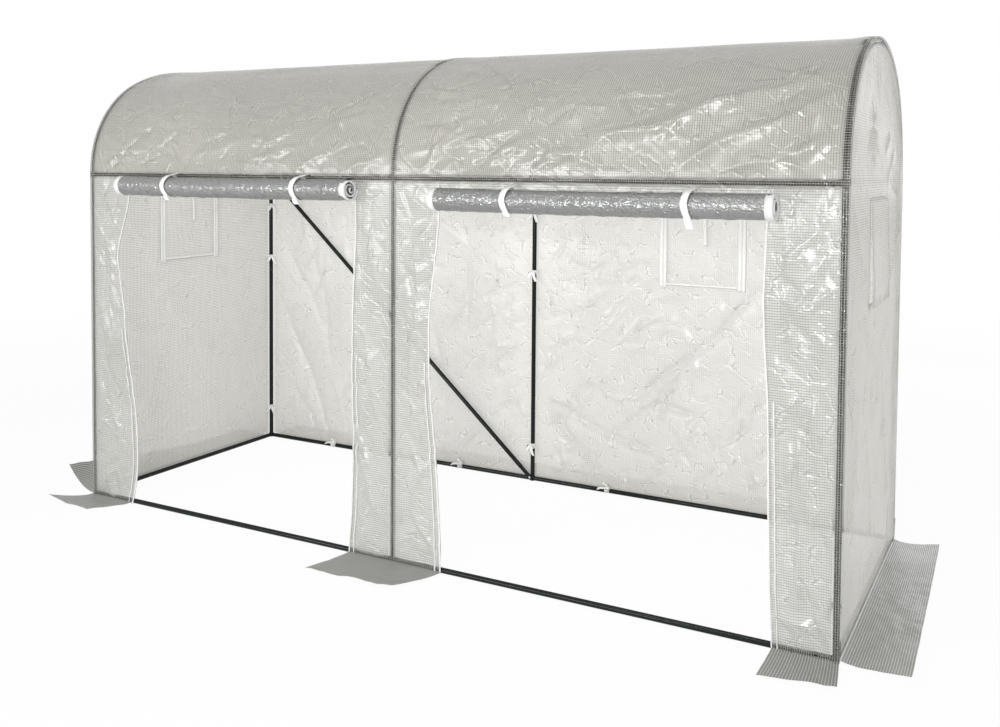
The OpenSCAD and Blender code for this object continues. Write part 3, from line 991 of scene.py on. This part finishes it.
def tie_path(t, height, tail):
    """From the film above the roll, over its front and on as a hanging tail."""
    if t < MEETS_ROLL:
        share = t / MEETS_ROLL
        y, z = around_roll(TIE_SPAN[0], height)
        seam_y, seam_z = -FILM_Y - 0.004, z + 0.010
        return seam_y + share * (y - seam_y), seam_z + share * (z - seam_z)
    if t < LEAVES_ROLL:
        share = (t - MEETS_ROLL) / (LEAVES_ROLL - MEETS_ROLL)
        return around_roll(TIE_SPAN[0] + share * (TIE_SPAN[1] - TIE_SPAN[0]), height)
    share = (t - LEAVES_ROLL) / (1 - LEAVES_ROLL)
    y, z = around_roll(TIE_SPAN[1], height)
    return y - 0.006 * math.sin(share * 2.6), z + share * (tail - z)


def tie_front(x0, height, tail):
    def place(t, w):
        x = x0 + float(np.interp(t, TIE_SHARES, TIE_SWAY))
        return x + w, *tie_path(t, height, tail)
    return place


def tie_behind(x0, height):
    def place(t, w):
        angle = TIE_SPAN[0] + t * (2 * math.pi + TIE_SPAN[1] - TIE_SPAN[0])
        return x0 + 0.002 + w, *around_roll(angle, height)
    return place


def make_roll_ties():
    bm = new_ribbons()
    for node, ties in ROLL_TIES.items():
        height = centre(node).z
        for x0, tail in ties:
            add_ribbon(bm, tie_front(x0, height, tail), 0.20, ROLL_TIE_WIDTH, 40)
            add_ribbon(bm, tie_behind(x0, height), 0.17, ROLL_TIE_WIDTH, 30)
    webbing = finish_piece("roll_tie_webbing", bm, WEBBING, ROLL_TIE_THICKNESS)
    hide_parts("door_ties")


# Skirts on the ground

SKIRT = 0.190
SKIRT_CELL = 0.009
SKIRT_IN_X, SKIRT_IN_Y = END_X + 0.002, FILM_Y + 0.002
SKIRT_OUT_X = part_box("right_skirt")[1].x
SKIRT_OUT_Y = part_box("back_skirt")[1].y

# A flap's name and node, its corners at the sill and its outer ones, how far those are lifted, and its seed
SKIRTS = (
    ("left_front_skirt", "front_skirts", ((-END_X, -SKIRT_IN_Y), (-1.275, -SKIRT_IN_Y)),
     ((-1.612, -0.695), (-1.372, -0.702)), (0.02, 0), 1.3),
    ("middle_front_skirt", "front_skirts", ((-0.182, -SKIRT_IN_Y), (0.205, -SKIRT_IN_Y)),
     ((-0.226, -SKIRT_OUT_Y), (0.135, -SKIRT_OUT_Y)), (0, 0.01), 4.1),
    ("right_front_skirt", "front_skirts", ((1.323, -SKIRT_IN_Y), (END_X, -SKIRT_IN_Y)),
     ((1.322, -0.730), (1.534, -0.715)), (0, 0.012), 6.2),
    ("right_end_skirt", "right_skirt", ((SKIRT_IN_X, -POST_Y), (SKIRT_IN_X, POST_Y)),
     ((SKIRT_OUT_X, -0.565), (1.672, 0.512)), (0.01, 0.02), 8.4),
    ("left_end_skirt", "left_skirt", ((-SKIRT_IN_X, -POST_Y), (-SKIRT_IN_X, POST_Y)),
     ((-1.690, -0.530), (-SKIRT_OUT_X, 0.540)), (0.095, 0.01), 2.9),
    ("back_wall_skirt", "back_skirt", ((-END_X, SKIRT_IN_Y), (END_X, SKIRT_IN_Y)),
     ((-1.50, SKIRT_OUT_Y), (1.49, SKIRT_OUT_Y)), (0.01, 0.02), 5.6),
)


def between(first, last, share):
    return [a + share * (b - a) for a, b in zip(first, last)]


def make_skirt(name, node, inner, outer, lift, seed):
    width = math.dist(*inner)
    low, high = (0, 0), (width, SKIRT)

    def place(u, v):
        along, out = u / width, v / SKIRT
        x, y = between(between(*inner, along), between(*outer, along), out)
        curl = (lift[0] * (1 - along) ** 2 + lift[1] * along ** 2) * out ** 2
        wave = 0.006 * np.abs(swell(u, v, 0.09, seed)) * out
        wave += 0.004 * np.abs(np.sin(u * 17 + seed)) * out ** 2
        rise = 0.007 * np.exp(-v / 0.02) + 0.0025 * facets(u, v, 0.07, seed + 1) * ease(v, 0.02)
        return x, y, 0.0012 + curl + wave + rise

    film = FRONT_SKIRT_FILM if node == "front_skirts" else SKIRT_FILM
    skirt = film_sheet(name, low, high, cells_for(low, high, SKIRT_CELL), place, film)
    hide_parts(node)


# Windows: flaps outside, tapes and a hanging strap inside

FLAP = (0.354, 0.344)
WINDOW_TAPE = 0.0145
SIDE_TAPE_PLACES = (-0.157, -0.172, 0.157, 0.172)
SIDE_TAPE_TOP = 0.166
SIDE_TAPE_LENGTH = 0.345
CROSS_TAPE_LENGTH = 0.33
CROSS_TAPE_INSET = 0.008
STRAP_LENGTH = 0.172
STRAP_WIDTH = 0.016


def wall_side(wall):
    """Turns places on a wall (across, outwards, up) into places in the frame."""
    if wall == "back":
        return lambda across, out, up: (across, FILM_Y + out, up)
    side = -1 if wall == "left" else 1
    return lambda across, out, up: (side * (END_X + out), across, up)


def make_window(name, node, wall, across, height, strap_slant):
    turn = wall_side(wall)
    film, sheet = (WALL_FILM, "back_wall_sheet") if wall == "back" else (END_FILM, wall + "_end_sheet")
    low, high = (across - FLAP[0] / 2, height - FLAP[1] / 2), (across + FLAP[0] / 2, height + FLAP[1] / 2)

    def hung(u, v):
        down = ease(high[1] - v, FLAP[1])
        bulge = 0.006 * (1 + swell(u, v, 0.16, 3.7 + across)) + 0.004 * facets(u, v, 0.09, 5.1)
        return turn(u, 0.0045 + bulge * down, v)

    flap = film_sheet(name + "_flap", low, high, cells_for(low, high), hung, film)
    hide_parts(node)

    def side_tape(middle):
        top = height + SIDE_TAPE_TOP
        return lambda t, w: turn(middle + w, -0.0035, top - SIDE_TAPE_LENGTH * t)

    def cross_tape(level):
        return lambda t, w: turn(across + (t - 0.5) * CROSS_TAPE_LENGTH, -0.0030, level + w)

    def strap(t, w):
        x = across + 0.011 + strap_slant * t * t + w
        return turn(x, -0.006 - 0.006 * math.sin(t * 3), top + 0.006 - STRAP_LENGTH * t)

    bm = new_ribbons()
    for place in SIDE_TAPE_PLACES:
        add_ribbon(bm, side_tape(across + place), SIDE_TAPE_LENGTH, WINDOW_TAPE, 40)
    bottom, top = low[1] + CROSS_TAPE_INSET, high[1] - CROSS_TAPE_INSET
    for level in (bottom, top):
        add_ribbon(bm, cross_tape(level), CROSS_TAPE_LENGTH, WINDOW_TAPE / 2, 30)
    add_ribbon(bm, strap, STRAP_LENGTH, STRAP_WIDTH, 16)
    finish_piece(name + "_tapes", bm, WEBBING, RIBBON_THICKNESS)


def make_windows():
    for name, (x, z) in zip(("back_left_window", "back_right_window"), BACK_WINDOWS):
        make_window(name, "back_windows", "back", x, z, 0.004)
    make_window("left_end_window", "left_window", "left", 0, END_WINDOW_Z, 0.01)
    make_window("right_end_window", "right_window", "right", 0, END_WINDOW_Z, -0.03)


# Ties of the cover: a band round the tube, a knot and two tails

BAND_RADIUS = TUBE_R + 0.0016
TIE_WIDTH = 0.012
# Heights of the ties on the posts, and places of those along the back sill
POST_TIES = (0.16, 0.93, 1.19)
SILL_TIES = (-1.0905, -0.3635, 0.3635, 1.0905)


def tie_bow():
    """One tie in its own place: the tube along z, the bow towards -y."""
    bm = new_ribbons()

    def band(t, w):
        angle = -math.pi / 2 + (t - 0.5) * 3.0
        return BAND_RADIUS * math.cos(angle), BAND_RADIUS * math.sin(angle), w

    add_ribbon(bm, band, 0.04, TIE_WIDTH, 18)
    for side in (-1, 1):

        def bow(t, w, side=side):
            angle = t * 2 * math.pi
            x = side * 0.011 * (1 - math.cos(angle))
            return x, -0.0165 + w, 0.0065 * math.sin(angle) - 0.25 * abs(x)

        def tail(t, w, side=side):
            x = side * (0.003 + 0.016 * t) + w
            return x, -0.0175 - 0.008 * math.sin(t * 2.4), -0.036 * t - 0.006 * side * t

        add_ribbon(bm, bow, 0.07, 0.013, 18)
        add_ribbon(bm, tail, 0.040, 0.013, 10)
    knot = bmesh.ops.create_icosphere(bm, subdivisions=2, radius=0.0055)["verts"]
    bmesh.ops.scale(bm, vec=(1.0, 0.8, 1.1), verts=knot)
    bmesh.ops.translate(bm, vec=(0, -0.0145, 0), verts=knot)
    return mesh_of("tie_bow", bm)


def make_cover_ties():
    bow = tie_bow()
    bm = bmesh.new()
    places = []
    for x in HOOPS:
        for y, facing in ((-POST_Y, math.pi), (POST_Y, 0)):
            for number, z in enumerate(POST_TIES):
                inwards = math.radians(45) * np.sign(x) * (1 if y < 0 else -1)
                turn = inwards + 0.15 * (number - 1)
                places.append(Matrix.Translation((x, y, z)) @ Matrix.Rotation(facing + turn, 4, "Z"))
    lying = Matrix.Rotation(math.radians(-60), 4, "X") @ Matrix.Rotation(math.radians(90), 4, "Y")
    for x in SILL_TIES:
        places.append(Matrix.Translation((x, POST_Y, SILL_Z)) @ lying)
    for place in places:
        first = len(bm.verts)
        bm.from_mesh(bow)
        bm.verts.ensure_lookup_table()
        bmesh.ops.transform(bm, matrix=place, verts=bm.verts[first:])
    bpy.data.meshes.remove(bow)
    ties = finish_piece("cover_tie_webbing", bm, WEBBING, RIBBON_THICKNESS)
    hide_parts("cover_ties")


# Bolts at the ends of the brace

def make_bolts():
    bm = bmesh.new()
    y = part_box("back_brace")[0].y - 0.002
    for x, z in ((-HOOP_X + 0.004, EAVE_Z - 0.006), (-0.004, SILL_Z + 0.008)):
        turned = Matrix.Translation((x, y, z)) @ Matrix.Rotation(math.radians(90), 4, "X")
        bmesh.ops.create_cone(bm, cap_ends=True, segments=6, radius1=0.0060, radius2=0.0056, depth=0.004,
                              matrix=turned)
    finish_piece("brace_bolts", bm, STEEL)


# Stage, camera and light

IMAGE = (1000, 727)
FOCAL_PIXELS = 1025
AXIS_PIXEL = (500, 212)
SENSOR = 36
CAMERA_PLACE = (2.008, -3.484, 1.379)
CAMERA_YAW = 0.4964
CAMERA_PITCH = -0.0418
CAMERA_ROLL = 0.0074


def make_camera():
    data = bpy.data.cameras.new("camera")
    data.sensor_width = SENSOR
    data.lens = FOCAL_PIXELS / IMAGE[0] * SENSOR
    data.shift_x = (IMAGE[0] / 2 - AXIS_PIXEL[0]) / IMAGE[0]
    data.shift_y = (AXIS_PIXEL[1] - IMAGE[1] / 2) / IMAGE[0]
    camera = add_to_scene("camera", data)
    level = math.cos(CAMERA_PITCH)
    ahead = Vector((-math.sin(CAMERA_YAW) * level, math.cos(CAMERA_YAW) * level, math.sin(CAMERA_PITCH)))
    right = Vector((math.cos(CAMERA_YAW), math.sin(CAMERA_YAW), 0))
    up = right.cross(ahead)
    turned_right = right * math.cos(CAMERA_ROLL) + up * math.sin(CAMERA_ROLL)
    turned_up = up * math.cos(CAMERA_ROLL) - right * math.sin(CAMERA_ROLL)
    axes = Matrix((turned_right, turned_up, -ahead)).transposed()
    camera.matrix_world = Matrix.Translation(CAMERA_PLACE) @ axes.to_4x4()
    bpy.context.scene.camera = camera


def seen_directly(tree):
    """1 where a surface is seen, straight or in a reflection, and 0 where it only gives light."""
    path = tree.nodes.new("ShaderNodeLightPath").outputs
    mirrored = calc(tree, "MAXIMUM", path["Is Glossy Ray"], path["Is Transmission Ray"])
    return calc(tree, "MAXIMUM", path["Is Camera Ray"], mirrored)


def make_world(level):
    world = bpy.data.worlds.new("studio")
    world.use_nodes = True
    tree = world.node_tree
    light = tree.nodes["Background"]
    light.inputs["Color"].default_value = (1, 1, 1, 1)
    tree.links.new(mix_value(tree, seen_directly(tree), level, 1.0), light.inputs["Strength"])
    bpy.context.scene.world = world


def make_floor():
    """Pale floor that shows white, with the greenhouse's own soft shadow on it."""
    bm = flat_grid((-40, -40), (40, 40), (4, 4))
    mesh = mesh_of("floor", bm)
    mesh.transform(Matrix.Translation((0, 0, -0.0015)))
    floor = add_to_scene("floor", mesh)
    material, tree, shader, place = new_material("pale floor")
    feed(tree, shader, {"Base Color": (0.86, 0.86, 0.86, 1), "Roughness": 0.9})
    white = new_node(tree, "ShaderNodeEmission", {"Color": (1, 1, 1, 1), "Strength": 1.0}).outputs[0]
    distance = new_node(tree, "ShaderNodeVectorMath", {0: place}, operation="LENGTH").outputs["Value"]
    share = times(tree, seen_directly(tree), ramp(tree, distance, 2.5, 8.0, 0.95, 1.0))
    show_mixed(tree, share, shader.outputs[0], white)
    mesh.materials.append(material)


def make_lamp(name, place, aim, size, power):
    data = bpy.data.lights.new(name, "AREA")
    data.shape = "RECTANGLE"
    data.size, data.size_y = size
    data.energy = power
    lamp = add_to_scene(name, data)
    lamp.location = place
    lamp.rotation_euler = (Vector(aim) - Vector(place)).to_track_quat("-Z", "Y").to_euler()


# Each lamp's name, place, aim, size and power
LAMPS = (
    ("key", (-2.2, -5.2, 1.75), (0, 0, 0.9), (3.6, 0.8), 125),
    ("front", (1.5, -5.0, 1.5), (0.5, 0, 0.8), (1.0, 1.0), 95),
    ("fill", (5.2, -1.8, 1.9), (0.8, 0, 0.8), (0.9, 1.4), 60),
    ("overhead", (-0.2, -2.8, 4.5), (0.8, -0.4, 1.5), (1.4, 0.3), 22),
    ("inside", (-0.1, -0.25, 1.62), (-0.1, 0.55, 0.5), (2.7, 0.25), 7.5),
    ("back", (0.6, 4.6, 1.8), (0, 0.5, 0.8), (3.0, 1.2), 34),
)


def make_studio():
    make_camera()
    make_world(0.40)
    make_floor()
    for lamp in LAMPS:
        make_lamp(*lamp)
    bpy.context.scene.view_settings.view_transform = "Standard"


# Finishes of the frame that shows as it is

def finish_frame():
    for name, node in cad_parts.items():
        if name.endswith("connectors"):
            finish = BLOCK
        elif name.endswith(("sill", "post", "eave", "ridge", "arch", "brace")):
            finish = TUBE
        else:
            continue
        node.data.materials.clear()
        node.data.materials.append(finish)


make_studio()
finish_frame()
make_roof()
make_back_wall()
make_end(-1, "left")
make_end(1, "right")
make_strip("front_left_strip", -END_X, -DOOR_OUTER, left_strip_place)
make_strip("front_middle_strip", -DOOR_INNER, DOOR_INNER, middle_strip_place)
make_strip("front_right_strip", DOOR_OUTER, END_X, right_strip_place)
make_header("left_door_header")
make_header("right_door_header")
make_roll("left_door_roll", 1.5)
make_roll("right_door_roll", 7.5)
make_door_edges()
make_roll_ends()
make_roll_ties()
for skirt in SKIRTS:
    make_skirt(*skirt)
make_windows()
make_cover_ties()
make_bolts()
